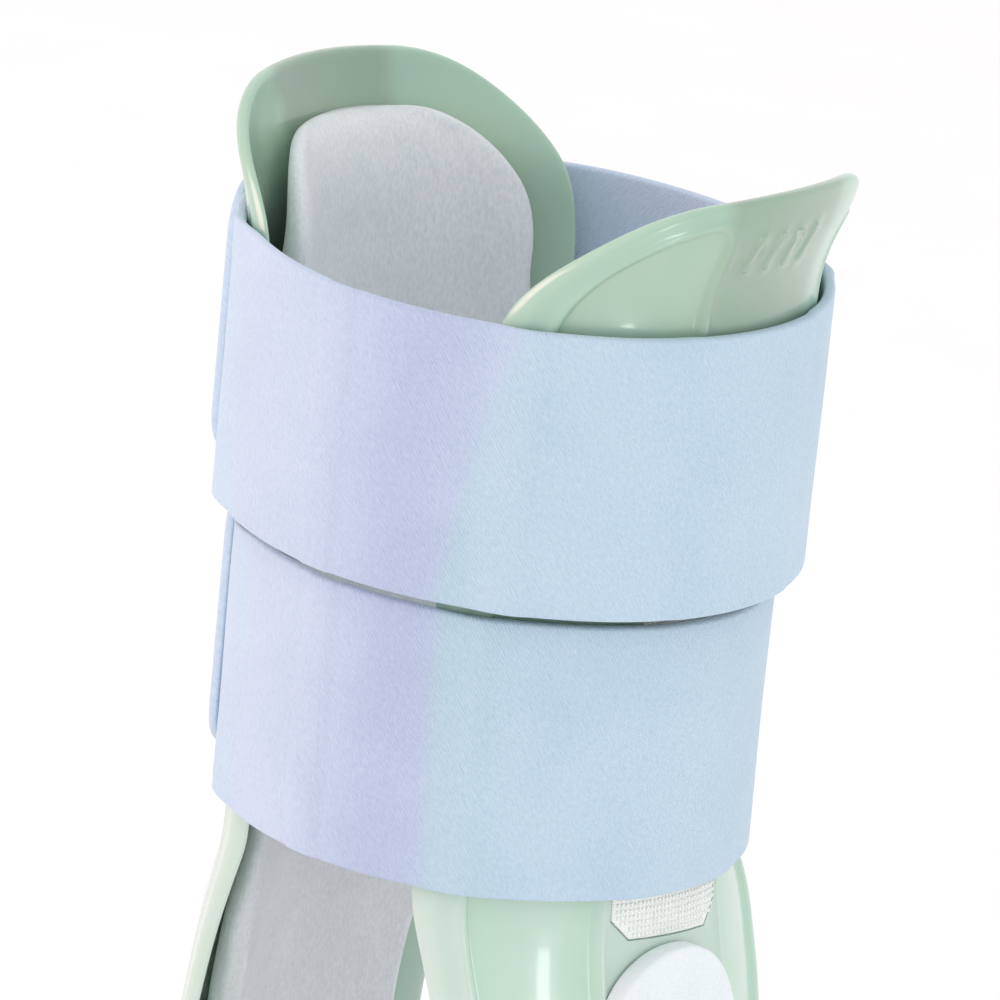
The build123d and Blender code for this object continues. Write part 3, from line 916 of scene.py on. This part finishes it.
def front_edge(z):
    """How far in front of the middle the shell's edge runs at a level."""
    low = ARCH[ARCH[:, 0] < 0]
    order = np.argsort(low[:, 1])
    return np.interp(z, low[order, 1], -low[order, 0])


def settle(x, y, z):
    """How far the strap's cloth stands out (mm) where the shell's rim and middle band press through it."""
    past = np.abs(y) - front_edge(z)
    gap = smooth((past - 0.4) / 3.5) * (np.abs(x) > 3) * np.exp(-(past / 14) ** 2)
    rim = np.exp(-((past + 1.6) / 1.8) ** 2)
    band = smooth((17.5 - np.abs(y)) / 3.5)
    return 0.42 * band + 0.5 * rim - 0.75 * gap


def waviness(x, y, z):
    """Slight unevenness of a strap pulled tight by hand."""
    a = np.arctan2(y, x) * 50
    return (0.12 * np.sin(a / 13 + z / 21) + 0.08 * np.sin(a / 7.3 - z / 11 + 1.3)
            + 0.05 * np.sin(a / 4.1 + z / 6.7))


def make_strap(level, part, arcs, spec):
    """One length of a wide strap, swept along its arcs."""
    middle, slope = spec["middle"], spec["slope"]
    section = rounded_section(STRAP_WIDTH / 2, STRAP_WALL, 0.75, 1.6)
    across, t = section[:, 0], section[:, 1]
    rings = []
    for n, ((cx, cy), radius, a, b) in enumerate(arcs):
        count = max(3, round(math.radians(b - a) * radius / 1.2))
        for angle in np.radians(np.linspace(a, b, count + 1)[(1 if n else 0):]):
            out = np.array([math.cos(angle), math.sin(angle)])
            x, y = cx + (radius + t) * out[0], cy + (radius + t) * out[1]
            z = middle + slope[0] * x + slope[1] * y + across
            lift = waviness(x, y, z) + (0 if part == "lateral_back" else settle(x, y, z))
            x, y = x + lift * out[0], y + lift * out[1]
            rings.append(np.stack([x, y, z], -1))
    thing = sweep(f"{level}_strap_{part}", np.array(rings)[:, ::-1])
    co = np.array([v.co for v in thing.data.vertices]) / MM
    crease = front_edge(co[:, 2]) + spec["crease"][0] + spec["crease"][1] * (middle - co[:, 2])
    # Where the cloth leaves the shell; the material paints the two sides in two tones as painted light.
    store(thing, "off_shell", smooth((np.abs(co[:, 1]) - crease + 1) / 2))
    # Painted shade: a soft dark band across the front cloth, centred 15 mm to the medial side, where the
    # strap turns in towards the medial shell's edge.
    store(thing, "fold", 0.85 * np.exp(-((co[:, 0] - 15) / 13) ** 2) * (co[:, 1] < 0))
    dress(thing, "strap", replaces=[f"{level}_strap"])
    if part == "medial":
        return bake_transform(thing)
    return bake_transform(thing)


def tab_shape(first, tip, half, corner):
    """A strap end's side view (y, across the strap): square at first, with round corners at its tip."""
    angles = np.radians(np.linspace(0, 90, 12))
    curve = np.stack([tip + corner - corner * np.sin(angles), half - corner + corner * np.cos(angles)], -1)
    upper = np.vstack([run([(first, 0), (first, half), (tip + corner, half)]), curve[1:],
                       run([(tip, half - corner), (tip, 0)])[1:]])
    return clockwise(joined(upper, upper[::-1] * (1, -1)))


def make_tab(level, spec):
    """The end of a strap, which is peeled off to open it, and the hook pad under it."""
    middle, slope = spec["middle"], spec["slope"]
    reach, radius = spec["size"][:2]
    k, base = radius - reach, radius + STRAP_WALL + LAP_GAP

    def place(y, across, out):
        x = np.sqrt((base + out) ** 2 - y ** 2) - k
        x = x + waviness(-x, y, middle + across) * smooth((y + 4) / 12)
        return np.stack([x, y, middle - slope[0] * x + slope[1] * y + across], -1)

    half, corner, edge_radius = STRAP_WIDTH / 2, 9, 0.75
    outline = tab_shape(TAB_START_Y, TAB_TIP_Y, half, corner)
    whole = tab_shape(TAB_START_Y + 20, TAB_TIP_Y, half, corner)
    loops = [outline] + [inset(outline, d) for d in (0.06, 0.2, 0.45, 0.8, 1.4)]

    def near(points):
        return STRAP_WALL - rounding(inside(points, whole), edge_radius)

    def far(points):
        return rounding(inside(points, whole), edge_radius)

    tab = plate(f"{level}_strap_end_tab", place, loops, near, far, LATERAL, 1.8, loops[1:5], 2.5)
    dress(tab, "strap", replaces=[f"{level}_strap_tab"])
    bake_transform(tab)
    shape = tab_shape(-4, TAB_TIP_Y + HOOK_INSET, half - HOOK_INSET, corner - HOOK_INSET)
    low = TAB_CLEAR - LAP_GAP + 0.5
    pad = plate(f"{level}_tab_hook_pad_tape", place, [shape, inset(shape, 0.4)],
                lambda p: np.full(len(p), -0.02), lambda p: np.full(len(p), low), LATERAL, 3.0)
    dress(pad, "hook", f"{level}_tab", [f"{level}_tab_hook_pad"])
    rows = np.array([(y, a) for a in np.arange(-22.4, 22.5, 0.95) for y in np.arange(-23.4, -4.5, 0.8)])
    rows = rows[inside(rows, shape) > 0.5]

    def inward(y, _across):
        x = np.sqrt(base ** 2 - y ** 2)
        return np.stack([-x, -y, np.zeros(len(y))], -1) / base

    points, faces = hook_pins(rows, low, place, inward, height=0.42)
    hooks = link(f"{level}_tab_hook_pad_hooks", points * (-1, 1, 1), [f[::-1] for f in faces], 30)
    dress(hooks, "hook", f"{level}_tab")


for level, spec in STRAPS.items():
    for part, arcs in strap_links(spec["size"]).items():
        make_strap(level, part, arcs, spec)
    make_tab(level, spec)

# ---- CAD nodes that keep their shape -------------------------------------------------------------
for word in SIDES.values():
    for node in ("_heel_hook_patch", "_liner_hook_dots"):
        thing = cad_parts[word + node]
        thing.data.materials.clear()
        thing.data.materials.append(PAINTS["hook"])


# ---- floor and light -----------------------------------------------------------------------------
def lamp(name, azimuth, elevation, distance, width, height, power, colour=(1, 1, 1), aim=(0, 0, 0.17)):
    """A softbox that stands at an azimuth measured like the camera's, facing the aim point."""
    light = bpy.data.objects.new(name, bpy.data.lights.new(name, "AREA"))
    bpy.context.collection.objects.link(light)
    light.data.shape = "RECTANGLE"
    light.data.size, light.data.size_y = width, height
    light.data.energy = power
    light.data.color = colour
    a, e = math.radians(azimuth), math.radians(elevation)
    away = Vector((math.sin(a) * math.cos(e), -math.cos(a) * math.cos(e), math.sin(e)))
    light.location = Vector(aim) + away * distance
    light.rotation_euler = away.to_track_quat("Z", "Y").to_euler()
    light.visible_camera = False


def stage_and_light():
    """A plain floor, a white studio, a pinkish key and a narrow box that the plastic mirrors."""
    bpy.ops.mesh.primitive_plane_add(size=12, location=(0, 0, -0.0005))
    floor = bpy.context.object
    floor.name = "floor"
    paint = Paint("floor", Roughness=0.9)
    speck = paint.noise(60, detail=3)
    paint.colour(paint.ramp(speck, (0.3, (0.95, 0.95, 0.95, 1)), (0.7, (0.97, 0.97, 0.97, 1))))
    floor.data.materials.append(paint.material)
    world = bpy.data.worlds.new("studio")
    bpy.context.scene.world = world
    world.use_nodes = True
    world.node_tree.nodes["Background"].inputs["Color"].default_value = (1, 1, 1, 1)
    world.node_tree.nodes["Background"].inputs["Strength"].default_value = 1.0
    bpy.context.scene.view_settings.view_transform = "Standard"
    lamp("key", azimuth=-35, elevation=22, distance=1.6, width=0.7, height=0.7, power=9.0,
         colour=(1, 0.58, 0.6))
    lamp("softbox", azimuth=82, elevation=-4, distance=0.58, width=0.045, height=0.17, power=0.22,
         aim=(0, 0, 0.135))


stage_and_light()
